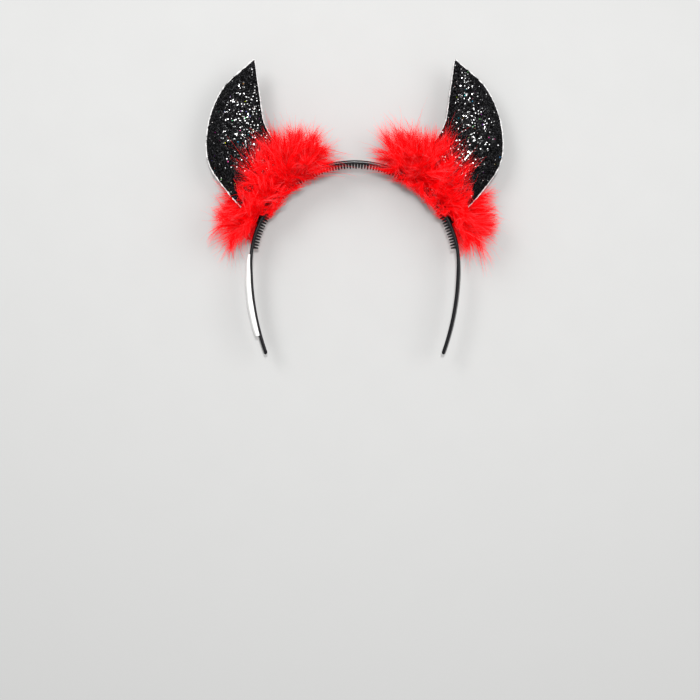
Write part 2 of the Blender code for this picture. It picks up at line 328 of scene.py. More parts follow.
def feather_finish():
    """Dyed marabou down: the barbs' tint with painted shade towards the quills and painted highlight on the
    pale ends, a soft sheen and light that comes through them.
    """
    finish = Finish("red_marabou")
    tint = finish.add("ShaderNodeVertexColor", output="Color", layer_name="tint")
    patchy = finish.noise(420, 3)
    finish.set({
        "Base Color": finish.mix(patchy * 0.25, tint, tone((0.95, 0.0, 0.002))),
        "Roughness": 0.6,
        "Specular IOR Level": 0.03,
        "Sheen Weight": 0.03,
        "Sheen Roughness": 0.4,
        "Sheen Tint": tone((1.0, 0.25, 0.22)),
    })
    lit = finish.add("ShaderNodeBsdfTranslucent", {"Color": tone((1.0, 0.003, 0.006))})
    both = finish.add("ShaderNodeMixShader", {0: 0.42, 1: Value(finish, finish.shader.outputs[0]), 2: lit})
    finish.feed(finish.tree.nodes["Material Output"].inputs["Surface"], both)
    return finish.material


def floor_finish():
    """A plain pale matt floor with the faintest mottle."""
    finish = Finish("pale_floor")
    mottle = finish.noise(30, 4)
    pale = settings().stage.floor
    return finish.set({
        "Base Color": finish.mix(mottle * 0.3, tone(pale), tone(pale, 0.96)),
        "Roughness": mottle * 0.1 + 0.6,
        "Normal": finish.bump(finish.noise(900, 3), 0.05, 0.0005),
    })


def grid_corners(rows, columns, round_columns=False):
    """Corners of the four-sided faces between the points of a grid that is stored row by row."""
    row, left = np.arange(rows - 1), np.arange(columns if round_columns else columns - 1)
    row, left = np.meshgrid(row * columns, left, indexing="ij")
    right, after = (left + 1) % columns, row + columns
    return np.stack([row + left, row + right, after + right, after + left]).reshape(4, -1).T


def six_times_volume(points, faces):
    """Signed: positive where the corners run anticlockwise seen from outside."""
    a, b, c, d = (points[faces[:, k]] for k in range(4))
    return (a * (np.cross(b, c) + np.cross(c, d))).sum()


def read_points(mesh):
    points = np.empty(len(mesh.vertices) * 3, np.float32)
    mesh.vertices.foreach_get("co", points)
    return points.reshape(-1, 3).astype(float)


def write_rows(rows, key, values):
    rows.foreach_set(key, np.ascontiguousarray(values, np.float32).ravel())


def write_points(mesh, points):
    write_rows(mesh.vertices, "co", points)
    mesh.update()


def new_object(name, data):
    made = bpy.data.objects.new(name, data)
    bpy.context.scene.collection.objects.link(made)
    return made


def new_piece(name, points, faces, finish, smooth=True, tint=None):
    """Puts whole arrays into a mesh. Faces is a list of arrays, each with one face's corners to a row."""
    mesh = bpy.data.meshes.new(name)
    corners = np.concatenate([block.ravel() for block in faces]).astype(np.int32)
    totals = np.concatenate([np.full(len(block), block.shape[1]) for block in faces])
    starts = (np.cumsum(totals) - totals).astype(np.int32)
    mesh.vertices.add(len(points))
    write_rows(mesh.vertices, "co", points)
    mesh.loops.add(len(corners))
    mesh.loops.foreach_set("vertex_index", corners)
    mesh.polygons.add(len(totals))
    mesh.polygons.foreach_set("loop_start", starts)
    mesh.polygons.foreach_set("use_smooth", np.full(len(totals), smooth))
    mesh.update(calc_edges=True)
    if tint is not None:
        write_rows(mesh.color_attributes.new("tint", "FLOAT_COLOR", "POINT").data, "color", tint)
    mesh.materials.append(finish)
    piece = new_object(name, mesh)
    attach(piece, "root")
    return piece


def lofted(points, finish, name, tint=None):
    """A closed tube from rows of rings, with flat ends, its faces turned outwards."""
    rows, ring, _ = points.shape
    flat = points.reshape(-1, 3)
    faces = grid_corners(rows, ring, round_columns=True)
    ends = np.array([np.arange(ring)[::-1], np.arange(ring) + (rows - 1) * ring])
    if six_times_volume(flat, faces) < 0:
        faces, ends = faces[:, ::-1], ends[:, ::-1]
    return new_piece(name, flat, [faces, ends], finish, tint=tint)


class BandLine:
    """The band's outer line: half a circle for the crown, and a wider arc for each arm."""

    # Where the arms start to turn, and over what length, as shares of a quarter of the crown's circle
    TWIST_FROM = 0.82
    TWIST_OVER = 0.25

    def __init__(self):
        band = self.band = settings().band
        self.radius = band.radius
        drop, inset = band.height - band.radius, band.radius - band.spread / 2
        self.arm = (drop**2 + inset**2) / (2 * inset)
        self.quarter = band.radius * math.pi / 2
        self.half = self.quarter + self.arm * math.asin(drop / self.arm)
        self.centre = BAND_HIGH.y - band.radius

    def width(self, arc):
        crown, tip = self.band.crown_width, self.band.tip_width
        return crown + (tip - crown) * np.abs(arc) / self.half

    def at(self, arc):
        """Points and outward directions, as rows of X and Y, at signed lengths from the crown's top."""
        run, side = np.abs(arc), np.where(np.asarray(arc) < 0, -1.0, 1.0)
        crown = run <= self.quarter
        turn = np.where(crown, run / self.radius, (run - self.quarter) / self.arm)
        sine, cosine = np.sin(turn), np.cos(turn)
        sideways = np.where(crown, self.radius * sine, self.radius - self.arm * (1 - cosine))
        up = np.where(crown, self.radius * cosine, -self.arm * sine)
        point = np.stack([side * sideways, up + self.centre], -1)
        outward = np.stack([side * np.where(crown, sine, cosine), np.where(crown, cosine, -sine)], -1)
        return point, outward

    def place(self, arc, height, depth):
        """Points at heights above the outer line and depths in front of the band's middle plane."""
        point, outward = self.at(arc)
        flat = point + outward * np.asarray(height)[..., None]
        depth = np.broadcast_to(depth, flat.shape[:-1])
        return np.concatenate([flat, depth[..., None] + MIDDLE_Z], -1)

    def place_twisted(self, arc, height, depth):
        """The same, with the strip turned about its own middle by an S-shaped step that ends on the arms."""
        way = np.clip((np.abs(arc) / self.quarter - self.TWIST_FROM) / self.TWIST_OVER, 0, 1)
        turn, middle = self.band.twist * way**2 * (3 - 2 * way), self.band.thickness / 2
        rise = height + middle
        turned = rise * np.cos(turn) - depth * np.sin(turn) - middle
        return self.place(arc, turned, depth * np.cos(turn) + rise * np.sin(turn))


class HEADBAND_OT_band(bpy.types.Operator):
    """Makes the moulded band and its two rows of comb teeth"""

    bl_idname = "headband.band"
    bl_label = "Make the band"
    TIP_ROUND = 0.003
    TOOTH_ROW_SHARE = 0.24
    TOOTH_WIDTH_SHARE = 0.30
    # Each ring of a tooth: its height as a share of the tooth's, its size as a share of the foot's
    TOOTH_RISES = (-0.15, 0.35, 0.75, 0.93, 1.0)
    TOOTH_SIZES = (1.05, 0.82, 0.62, 0.48, 0.22)

    def execute(self, context):
        finish = plastic_finish()
        band = lofted(self.strip(), finish, "band_strip")
        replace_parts(band, "headband")
        points, faces = self.teeth()
        new_piece("comb_teeth", points, faces, finish)
        return {"FINISHED"}

    def strip(self):
        """A rounded oblong carried along the band's line, drawn in to a half circle at each tip.

        The oblong is a smaller one whose corners each push out a quarter circle.
        """
        line, band = BandLine(), settings().band
        arc = line.half * np.sin(np.linspace(-math.pi / 2, math.pi / 2, 361))
        corner = np.repeat(np.arange(4), 5)
        turn = corner * math.pi / 2 + np.tile(np.linspace(0, math.pi / 2, 5), 4)
        signs = np.array([(1, 1), (-1, 1), (-1, -1), (1, -1)])[corner]
        to_tip = np.clip((line.half - np.abs(arc)) / self.TIP_ROUND, 0.02, 1)
        draw = np.sqrt(1 - (1 - to_tip) ** 2)
        half_wide = line.width(arc) / 2 * draw
        half_thick = band.thickness / 2 * np.minimum(1, 0.25 + draw)
        edge = np.minimum(band.edge, 0.8 * np.minimum(half_wide, half_thick))[:, None]
        high = signs[:, 0] * (half_thick[:, None] - edge) + np.cos(turn) * edge - band.thickness / 2
        deep = signs[:, 1] * (half_wide[:, None] - edge) + np.sin(turn) * edge
        return line.place_twisted(arc[:, None] + 0 * high, high, deep)

    def teeth(self):
        """Two rows of tapering pegs on the inner face, their corners rounded and their tops domed."""
        line, band = BandLine(), settings().band
        count = int(2 * band.tooth_reach * band.radius / band.tooth_pitch)
        row, k = np.meshgrid([-1, 1], np.arange(count), indexing="ij")
        middle = ((k - (count - 1) / 2 + row / 4) * band.tooth_pitch).ravel()
        width = line.width(middle)
        centre = row.ravel() * self.TOOTH_ROW_SHARE * width
        turn = np.linspace(0, 2 * math.pi, 12, endpoint=False)
        blunt = (np.abs(np.cos(turn)) ** 4 + np.abs(np.sin(turn)) ** 4) ** -0.25
        rise, taper = np.array([self.TOOTH_RISES, self.TOOTH_SIZES])
        along = np.cos(turn) * blunt * band.tooth_length / 2
        sideways = np.sin(turn) * blunt * self.TOOTH_WIDTH_SHARE / 2
        arc = middle[:, None, None] + taper[:, None] * along
        deep = centre[:, None, None] + taper[:, None] * sideways * width[:, None, None]
        high = -band.thickness - band.tooth_height * rise[:, None] + 0 * arc
        points = line.place_twisted(arc, high, deep)
        faces = grid_corners(len(rise), len(turn), round_columns=True)
        top = (np.arange(len(turn)) + (len(rise) - 1) * len(turn))[None]
        if six_times_volume(points[0].reshape(-1, 3), faces) < 0:
            faces, top = faces[:, ::-1], top[:, ::-1]
        step = (np.arange(len(middle)) * len(rise) * len(turn))[:, None, None]
        blocks = [step + faces, step + top]
        return points.reshape(-1, 3), [block.reshape(-1, block.shape[-1]) for block in blocks]


class HEADBAND_OT_label(bpy.types.Operator):
    """Makes the blank label that is folded round the left arm's front edge"""

    bl_idname = "headband.label"
    bl_label = "Make the label"
    BEND = 0.0009
    # The fold's ragged depth is a sum of waves, each of them shallower as its rate is higher
    RATES = (9, 31, 67, 143)
    PHASES = (1.0, 0.4, 2.0, 4.1)

    def execute(self, context):
        piece = lofted(self.fold(), paper_finish(), "folded_label")
        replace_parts(piece, "label")
        return {"FINISHED"}

    def fold(self):
        """A sheet with a rounded fold: over the outer face, round the front edge and a little way inwards.

        It bulges off the band as part of a sine curve, from nothing at its upper end, with a slight ripple.
        """
        line, label, bend = BandLine(), settings().label, self.BEND
        way = np.linspace(0, 1, 141)[:, None]
        arc = -(label.start + label.run * way)
        half = line.width(arc) / 2
        ragged = sum(np.sin(way * rate + phase) / rate for rate, phase in zip(self.RATES, self.PHASES))
        reach = label.fold * (1 + 1.6 * ragged)
        lift = GAP + label.bulge * np.sin(way * 2.6) ** 0.7 + 0.0001 * np.sin(way * 23)
        foot, edge = lift - bend, half + GAP
        over, inwards = np.linspace(0, 1, 6), np.linspace(0.25, 1, 4)
        turn = np.linspace(0, math.pi / 2, 7)[1:]
        face = over * (edge - bend) - half * (1 - over)
        sheets = []
        for sheet, order in ((label.thickness, 1), (0.0, -1)):
            bent = bend + sheet
            high = lift + sheet + 0 * over, foot + bent * np.cos(turn), foot - inwards * (foot + reach)
            deep = face, edge - bend + bent * np.sin(turn), edge + sheet * (1 - 0.35 * inwards**3)
            sheets.append(np.stack([np.hstack(high), np.hstack(deep)])[..., ::order])
        high, deep = np.concatenate(sheets, -1)
        return line.place_twisted(arc + 0 * high, high, deep)


def unit(vectors):
    return vectors / np.maximum(np.linalg.norm(vectors, axis=-1, keepdims=True), 1e-12)


def square_to(vectors, others):
    """The part of the first vectors square to the others, at length one."""
    return unit(vectors - others * (vectors * others).sum(-1, keepdims=True))


def smooth_line(points, shares):
    """Points at shares of the way along cubic pieces, each end's slope taken from its neighbours."""
    points = np.array(points)
    places = np.cumsum(np.r_[0, np.linalg.norm(np.diff(points, axis=0), axis=1)])
    places /= places[-1]
    slopes = np.gradient(points, places, axis=0)
    piece = np.clip(np.searchsorted(places, shares, side="right") - 1, 0, len(points) - 2)
    span = (places[piece + 1] - places[piece])[:, None]
    u = (shares - places[piece])[:, None] / span
    start = points[piece] * (2 * u**3 - 3 * u**2 + 1) + slopes[piece] * span * (u**3 - 2 * u**2 + u)
    end = points[piece + 1] * (3 * u**2 - 2 * u**3) + slopes[piece + 1] * span * (u**3 - u**2)
    return start + end


def horn_outline(shares, inset=0.0):
    """The inner and outer edges of the right horn, from the band to the tip, drawn in by an inset."""
    line, horn = BandLine(), settings().horn
    middle = line.at((horn.inner_angle + horn.outer_angle) / 2 * line.radius)[0]

    def spot(row, sideways=0.0):
        return middle + np.array([row["out"] * horn.reach + sideways, row["up"] * horn.height])

    angles = horn.inner_angle, horn.outer_angle
    inner_foot, outer_foot = (line.place(turn * line.radius, GAP, 0)[:2] for turn in angles)
    inner = [inner_foot, *map(spot, INNER_EDGE), spot(HORN_TIP, -TIP_HALF_WIDTH)]
    outer = [outer_foot, *map(spot, OUTER_EDGE), spot(HORN_TIP, TIP_HALF_WIDTH)]
    inner, outer = smooth_line(inner, shares), smooth_line(outer, shares)
    step = unit(outer - inner) * inset
    return inner + step, outer - step


def horn_surface(rows, columns, inset=0.0):
    """Points over the right horn's outline and the padding's height at each.

    A row runs from the inner edge to the outer one. The lowest row follows the band, and that bend dies away
    towards the tip. The height is a rounded hump in proportion to the horn's width, but at the foot it is the
    band's.
    """
    line, horn = BandLine(), settings().horn
    up = np.linspace(0, 1, rows)
    over = (1 - np.cos(np.linspace(0, math.pi, columns))) / 2
    inner, outer = horn_outline(up, inset)
    flat = inner[:, None] * (1 - over)[:, None] + outer[:, None] * over[:, None]
    angles = horn.inner_angle + (horn.outer_angle - horn.inner_angle) * over
    foot = line.place(angles * line.radius, np.full(columns, GAP), 0.0)[:, :2]
    flat = flat + ((1 - up) ** 2)[:, None, None] * (foot - flat[0])
    width = np.linalg.norm(outer - inner, axis=1)
    foot_pad = line.width(horn.outer_angle * line.radius) / 2 - horn.lip - GAP / 2
    full_pad = horn.thickness / 2 - horn.lip - GAP / 2
    near_foot = (1 - up) ** 3
    pad = foot_pad * near_foot + full_pad * width / width.max() * (1 - near_foot)
    return flat, pad[:, None] * (4 * over * (1 - over)) ** 0.6


def fill_with_wadding(piece, seam, cap, frames=20, scale=10):
    """Blows the cloth up from inside with its seam held, each move within a cap.

    It is simulated at ten times its size, at which cloth this small settles sooner.
    """
    start = read_points(piece.data)
    write_points(piece.data, start * scale)
    piece.vertex_groups.new(name="seam").add(seam.tolist(), 1.0, "REPLACE")
    cloth = piece.modifiers.new("wadding", "CLOTH")
    filling = cloth.settings
    filling.quality = 6
    filling.use_pressure = True
    filling.uniform_pressure_force = 4
    filling.shrink_min = -0.02
    filling.effector_weights.gravity = 0
    filling.vertex_group_mass = "seam"
    cloth.collision_settings.use_collision = False
    cloth.point_cache.frame_end = frames
    scene = bpy.context.scene
    for step in range(1, frames + 1):
        scene.frame_set(step)
    swollen = piece.evaluated_get(bpy.context.evaluated_depsgraph_get())
    moved = read_points(swollen.data) / scale - start
    piece.modifiers.remove(cloth)
    piece.vertex_groups.clear()
    scene.frame_set(1)
    far = np.linalg.norm(moved, axis=1, keepdims=True)
    write_points(piece.data, start + moved * np.minimum(1, cap / np.maximum(far, 1e-9)))


class HEADBAND_OT_horns(bpy.types.Operator):
    """Makes the two padded horns, the white cut edge round each and its glitter"""

    bl_idname = "headband.horns"
    bl_label = "Make the horns"
    SEEDS = {"left": 21, "right": 34}
    ROWS = 62
    COLUMNS = 30
    SEAM_INSET = 0.0005
    FIRST_FILLING = 0.86
    MOST_SWELLING = 0.002
    # The white edge: its radius and limits, and its share of them on each horn's outer and inner edges
    EDGE_RADIUS = 0.00064
    EDGE_LIMITS = (0.00015, 0.0012)
    EDGE_SHARES = {"left": (0.88, 0.5), "right": (0.72, 0.5)}
    EDGE_INSET = 0.00030
    EDGE_WANDER = 0.00016
    EDGE_DEPTH = 0.0011
    # The middle and the spread of the silver flakes' bell curve across the horn, at the foot and at the tip.
    # The bell curve is a painted highlight band: bright flakes gathered where the light's sparkle falls
    SILVER_HIGHLIGHT_BAND = {"left": ((0.37, 0.12), (0.28, 0.17)), "right": ((0.42, 0.14), (0.50, 0.20))}
    LONE_SILVER = 0.08
    FLAKE_TILT = 0.22
    TINTED_SHARE = 0.007

    def execute(self, context):
        cloth, edge, flakes = cloth_finish(), edge_finish(), flake_finish()
        for word, side in SIDES:
            chance = np.random.default_rng(self.SEEDS[word])
            pad, front, back = self.pad(word, side, cloth)
            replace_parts(pad, f"horn_{word}_front", f"horn_{word}_back")
            lofted(self.rim(word, side, chance), edge, f"horn_{word}_edge")
            self.glitter(word, front, back, flakes, chance)
        return {"FINISHED"}

    def pad(self, word, side, finish):
        """Two domed sheets over the outline, joined by a narrow wall at the seam and then filled."""
        flat, hump = horn_surface(self.ROWS, self.COLUMNS, self.SEAM_INSET)
        rise = GAP / 2 + settings().horn.lip + self.FIRST_FILLING * hump
        sheets = [np.dstack([flat * (side, 1), MIDDLE_Z + way * rise]) for way in (1, -1)]
        points = np.concatenate([sheet.reshape(-1, 3) for sheet in sheets])
        count = self.ROWS * self.COLUMNS
        index = np.arange(count).reshape(self.ROWS, self.COLUMNS)
        loop = np.concatenate([index[0], index[1:-1, -1], index[-1, ::-1], index[1:-1, 0][::-1]])
        after = np.roll(loop, -1)
        faces = grid_corners(self.ROWS, self.COLUMNS)
        wall = np.stack([loop, loop + count, after + count, after], 1)
        faces = np.concatenate([faces, faces[:, ::-1] + count, wall])[:, ::side]
        piece = new_piece(f"horn_{word}", points, [faces], finish)
        fill_with_wadding(piece, np.concatenate([loop, loop + count]), self.MOST_SWELLING)
        points = read_points(piece.data)
        smooth = piece.modifiers.new("smooth", "SUBSURF")
        smooth.levels = smooth.render_levels = 1
        front, back = points.reshape(2, self.ROWS, self.COLUMNS, 3)
        return piece, front, back

    def rim(self, word, side, chance):
        """An oval cord along the whole outline, its thickness and its place wandering a little."""
        inner, outer = horn_outline(np.linspace(0.02, 1, 260))
        path = np.concatenate([outer, inner[::-1]])
        forward = unit(np.gradient(path, axis=0))
        out = np.stack([forward[:, 1], -forward[:, 0]], 1)
        rough = chance.normal(0, 1, (2, len(path)))
        rough = np.array([np.convolve(row, np.ones(3) / 3, "same") for row in rough])
        white = np.where(np.arange(len(path)) < len(outer), *self.EDGE_SHARES[word])
        thick = np.clip(self.EDGE_RADIUS * white * (1 + 0.60 * rough[0]), *self.EDGE_LIMITS)
        turn = np.linspace(0, 2 * math.pi, 10, endpoint=False)
        place = self.EDGE_WANDER * rough[1] - self.EDGE_INSET * white
        step = thick[:, None] * np.cos(turn) + place[:, None]
        flat = path[:, None] + out[:, None] * step[..., None]
        deep = MIDDLE_Z + (self.EDGE_DEPTH + 0.5 * thick)[:, None] * np.sin(turn)
        return np.concatenate([flat * (side, 1), deep[..., None]], -1)

    def glitter(self, word, front, back, finish, chance):
        """Six-sided flakes strewn over both faces, each tilted its own way and tinted for itself.

        The dark ones lie evenly, and the silver ones gather along a bell curve across the horn: a painted
        highlight band where the light's sparkle falls. A few have a faint hue, from three cosines a third of
        a turn apart.
        """
        horn = settings().horn
        middle = (np.arange(self.COLUMNS - 1) + 0.5) / (self.COLUMNS - 1)
        # Painted highlight: the silver flakes' bell curve puts bright flakes where the sparkle falls, over a
        # few lone ones
        densest, spread = np.linspace(*self.SILVER_HIGHLIGHT_BAND[word], self.ROWS - 1).T
        highlight_band_weight = self.LONE_SILVER + np.exp(-(((middle - densest[:, None]) / spread[:, None]) ** 2))
        rows = []
        for grid, way in ((front, 1), (back, -1)):
            a, b, c, d = grid[:-1, :-1], grid[:-1, 1:], grid[1:, 1:], grid[1:, :-1]
            square = np.cross(c - a, d - b)
            size = np.linalg.norm(square, axis=-1)
            for count, weight, bright in ((horn.flakes // 2, 1, 0), (horn.silver // 2, highlight_band_weight, 1)):
                odds = (size * weight).ravel()
                cell = chance.choice(size.size, count, p=odds / odds.sum())
                r, k = np.unravel_index(cell, size.shape)
                u, v = chance.random((2, count, 1))
                near, far = (p[r, k] * (1 - u) + q[r, k] * u for p, q in ((a, b), (d, c)))
                normal = unit(square[r, k])
                normal = normal * np.sign(normal[:, 2:]) * way
                rows.append((near * (1 - v) + far * v, normal, np.full(count, bright)))
        spots, normals, silver = map(np.concatenate, zip(*rows))
        count = len(spots)
        tilted = unit(normals + chance.normal(0, self.FLAKE_TILT, (count, 3)))
        one = square_to(chance.normal(0, 1, (count, 3)), tilted)
        two = np.cross(tilted, one)
        size = np.where(silver, chance.uniform(0.65, 1.1, count), chance.uniform(0.55, 1.0, count))
        lift = chance.uniform(0.00008, 0.00022, (count, 1)) + 0.00014 * silver[:, None]
        turn = (np.arange(6) * math.pi / 3)[:, None]
        around = np.cos(turn) * one[:, None] + np.sin(turn) * two[:, None]
        points = (spots + normals * lift)[:, None] + horn.flake * size[:, None, None] * around
        shiny, dull = chance.uniform(0.35, 1.0, count), 0.0002 + 0.05 * chance.random(count) ** 6
        grey = np.where(silver, shiny, dull)
        hue = chance.uniform(0, 2 * math.pi, (count, 1)) + np.array([0, 2, 4]) * math.pi / 3
        stray = (chance.random(count) > 1 - self.TINTED_SHARE)[:, None]
        tint = np.where(stray, 0.10 + 0.10 * np.cos(hue), grey[:, None])
        tint = np.repeat(np.concatenate([tint, np.ones((count, 1))], 1), 6, 0)
        points, faces = points.reshape(-1, 3), [np.arange(count * 6).reshape(-1, 6)]
        new_piece(f"horn_{word}_glitter", points, faces, finish, False, tint)


def spiral(count, first=0.0):
    """Points spread evenly over a unit ball, each a golden angle further round than the last."""
    k = np.arange(count)
    along = 1 - (2 * k + 1) / count
    turn = k * math.pi * (3 - math.sqrt(5)) + first
    ring = np.sqrt(1 - along**2)
    return along, ring * np.cos(turn), ring * np.sin(turn)


def grid_cells(points):
    """The row and the column of each point in a square grid round the origin."""
    return np.clip(np.rint(points / CELL).astype(int) + CELLS // 2, 0, CELLS - 1)


def horn_room():
    """Half the right horn's thickness in each cell of the square grid, nothing outside it."""
    flat, hump = horn_surface(rows=420, columns=200)
    cells, room = grid_cells(flat), np.zeros((CELLS, CELLS))
    np.maximum.at(room, (cells[..., 0], cells[..., 1]), hump + settings().horn.lip + GAP)
    for axis in (0, 1):
        room = np.maximum(room, np.maximum(np.roll(room, 1, axis), np.roll(room, -1, axis)))
    return room


def drawn_in(values, limit, share):
    """Values past a limit keep only a share of their excess."""
    return np.where(values > limit, limit + share * (values - limit), values)


def off_ground(height, soft=0.0012, turning=0.0003, least=0.0002):
    """Heights levelled off near the ground: a soft length times log(1 + e to the height in soft lengths)."""
    return soft * np.logaddexp(0, (height - turning) / soft) + least


class Strand:
    """One feather strand: a blunt-ended oval roll bent along the band, with plumes all round it.

    Angles are in degrees from the crown's top, and heights are over the band's outer line.
    """

    SEEDS = {-1: 5, 1: 11}
    # Two angles, and at each the height that the head presses barbs back to, by a share of what they lack
    PRESS = ((57, 65), (-0.0045, 0.0), (0.65, 0.95))
    # Past this angle the band comes out of the feathers, and barbs that end high enough leave from its face
    BARE_FROM = 61
    START_HEIGHT = 0.0012
    LEAVING_HEIGHT = 0.004
    # The horn's lower corner: its angles, and the height at each from which a barb's end hides it
    CORNER = ((51, 67), (0.034, 0.0068))
    BEHIND_SHARE = 0.6
    REACH = {"limit": 0.1, "share": 0.55}
    RISE = {"limit": 0.046, "share": 0.35}

    def __init__(self, side):
        self.side = side
        self.line = BandLine()
        self.chance = np.random.default_rng(self.SEEDS[side])
        self.look = settings().marabou
        self.room = horn_room()

    def place(self, along, up, front):
        """Maps points of a unit ball to the roll, and gives the direction out of it there."""
        look, line = self.look, self.line
        start, end = look.start * line.radius, look.end * line.radius
        high, deep = (look.above + look.below) / 2, (look.front + look.back) / 2
        full = np.sqrt(1 - np.abs(along) ** 3) / np.sqrt(np.maximum(1 - along**2, 1e-9))
        arc = self.side * ((start + end) / 2 + (end - start) / 2 * along)
        height = (look.above - look.below) / 2 + high * full * up
        point = line.place(arc, height, (look.front - look.back) / 2 + deep * full * front)
        outward = line.at(arc)[1]
        slope = unit(np.stack([along / (end - start) * 2, up / high, front / deep], -1))
        forward = np.stack([outward[:, 1], -outward[:, 0]], -1) * self.side
        flat = forward * slope[:, :1] + outward * slope[:, 1:2]
        return point, unit(np.concatenate([flat, slope[:, 2:]], -1))

    def from_head(self, points):
        """Each point's height, angle and direction away from the head; the arms are taken as straight."""
        x, y = points[..., 0], points[..., 1] - self.line.centre
        height = np.where(y > 0, np.hypot(x, y), np.abs(x)) - self.line.radius
        return height, np.degrees(np.arctan2(np.abs(x), y)), unit(np.stack([x, np.maximum(y, 0)], -1))

    def pressed(self, points):
        """Presses points back on the head's side, and as far as the band itself where that comes out."""
        height, turn, out = self.from_head(points)
        angles, heights, shares = self.PRESS
        step = np.interp(turn, angles, shares) * np.maximum(np.interp(turn, angles, heights) - height, 0)
        return np.concatenate([points[..., :2] + out * step[..., None], points[..., 2:]], -1)

    def kept_clear(self, paths):
        """Moves points out of the horn and the band, forwards or backwards, and up off the ground.

        Where the band comes out of the feathers, barbs that lead away start at its outer line. The others
        there and those that hide the horn's lower corner go behind: their depth is turned over and reduced.
        What reaches far out sideways or upwards is drawn in.
        """
        line, x = self.line, paths[..., :1]
        paths = np.concatenate([np.sign(x) * drawn_in(np.abs(x), **self.REACH), paths[..., 1:]], -1)
        height, turn, out = self.from_head(paths)
        deep = paths[..., 2] - MIDDLE_Z
        past = (turn > self.BARE_FROM) & (height < self.START_HEIGHT)
        leaving = past & (height[:, -1:] > self.LEAVING_HEIGHT)
        flat = paths[..., :2] + np.where(leaving, self.START_HEIGHT - height, 0)[..., None] * out
        past = past & ~leaving
        if paths.shape[1] > 1:
            hides = height[:, -1] > np.interp(turn[:, -1], *self.CORNER, left=np.inf, right=np.inf)
            behind = hides | past.any(axis=1)
            deep = np.where(behind[:, None] & (deep > 0), -self.BEHIND_SHARE * deep, deep)
        way = np.where(past, -1.0, np.where(deep[:, :1] >= 0, 1.0, -1.0))
        cells = grid_cells(flat * (self.side, 1))
        band = np.where(height < GAP, line.width(np.radians(turn) * line.radius) / 2 + GAP, 0)
        need = np.maximum(self.room[cells[..., 0], cells[..., 1]], np.where(leaving, 0, band))
        deep = np.where(need > 0, way * np.maximum(deep * way, need), deep)
        lifted = off_ground(drawn_in(deep + MIDDLE_Z, **self.RISE))
        return np.concatenate([flat, lifted[..., None]], -1)

    def main_plumes(self):
        """The same plumes as the frame's locks: on a spiral, each leaning its own way."""
        look, chance = self.look, self.chance
        along, up, front = spiral(look.locks)
        point, outward = self.place(along, up, front)
        draws = [(*chance.normal(0, 0.5, 3), chance.uniform(0.8, 1.15)) for _ in range(look.locks)]
        lean, spread = np.array(draws)[:, :3], np.array(draws)[:, 3]
        aim = outward + lean - outward * (lean * outward).sum(-1, keepdims=True)
        share = 0.35 + 0.65 * np.clip(np.maximum(up, np.abs(along)), 0, 1)
        return point, unit(aim), look.lock * share * spread

    def small_plumes(self, count):
        """Plumes between the main ones, swept away from the head and longest near the horn's inner foot.

        Those of the hem, in front on the head's side, start further in and are swept away less.
        """
        look, chance = self.look, self.chance
        along, up, front = spiral(count, first=1.0)
        deep = chance.uniform(0.55, 0.95, count)
        up, front = up * deep, front * deep
        point, outward = self.place(along, up, front)
        away = np.pad(unit(point[:, :2] - (0, self.line.centre)), ((0, 0), (0, 1)))
        hem = (np.clip(3 * front, 0, 1) * np.clip(-1.5 * up, 0, 1))[:, None]
        aim = outward * (0.55, 0.55, 0.35) + away * (0.8 - 0.75 * hem) + chance.normal(0, 0.42, (count, 3))
        by_horn = 0.30 * np.exp(-(((along + 0.42) / 0.2) ** 2))
        share = 0.6 + 0.4 * np.clip(np.maximum(up, np.abs(along)), 0, 1) + by_horn
        share = share * np.where(along < -0.72, 0.72, 1.0)
        size = look.lock * share * (0.65 + 0.7 * chance.random(count) ** 2)
        return point - away * 0.003 * hem, unit(aim), size

    def barbs(self, plumes, count, reach, slant, steps):
        """Barbs that leave each plume's quill all round: the middle line of each and how bright it is.

        A quill is a parabola that starts a quarter of its length inside the roll. A barb slants off it, its
        square term turns it back towards the quill's direction, and a small wave is added.
        """
        look, chance = self.look, self.chance
        root, aim, size = plumes
        which = chance.choice(len(root), count, p=size**1.5 / (size**1.5).sum())
        bend = square_to(chance.normal(0, 1, (len(root), 3)), aim) * chance.uniform(0.1, 0.45, (len(root), 1))
        shade = chance.uniform(0.70, 1.08, len(root))
        root, aim, bend, span = root[which], aim[which], bend[which], size[which, None]
        place = chance.beta(1.0, 1.7, (count, 1))
        quill = root + (aim * (place - 0.25) + bend * place**2) * span
        ahead = unit(aim + 2 * bend * place)
        lean = square_to(chance.normal(0, 1, (count, 3)), ahead)
        leave = unit(ahead * (0.6 + 0.9 * place) + lean * slant * chance.uniform(0.2, 1.2, (count, 1)))
        spread = 0.36 + 1.15 * chance.random((count, 1)) ** 2.3
        far = reach * (1 - 0.4 * place) * spread * np.sqrt(span / look.lock)
        curl = ahead * 0.3 + bend * 1.2 + chance.normal(0, 0.2, (count, 3))
        wave = square_to(chance.normal(0, 1, (count, 3)), leave) * 0.04
        way = np.linspace(0, 1, steps)[None, :, None]
        path = leave[:, None] * way + curl[:, None] * way**2 * 0.7 + wave[:, None] * np.sin(way * 6)
        return quill[:, None] + path * far[:, None], shade[which] * chance.uniform(0.8, 1.1, count)


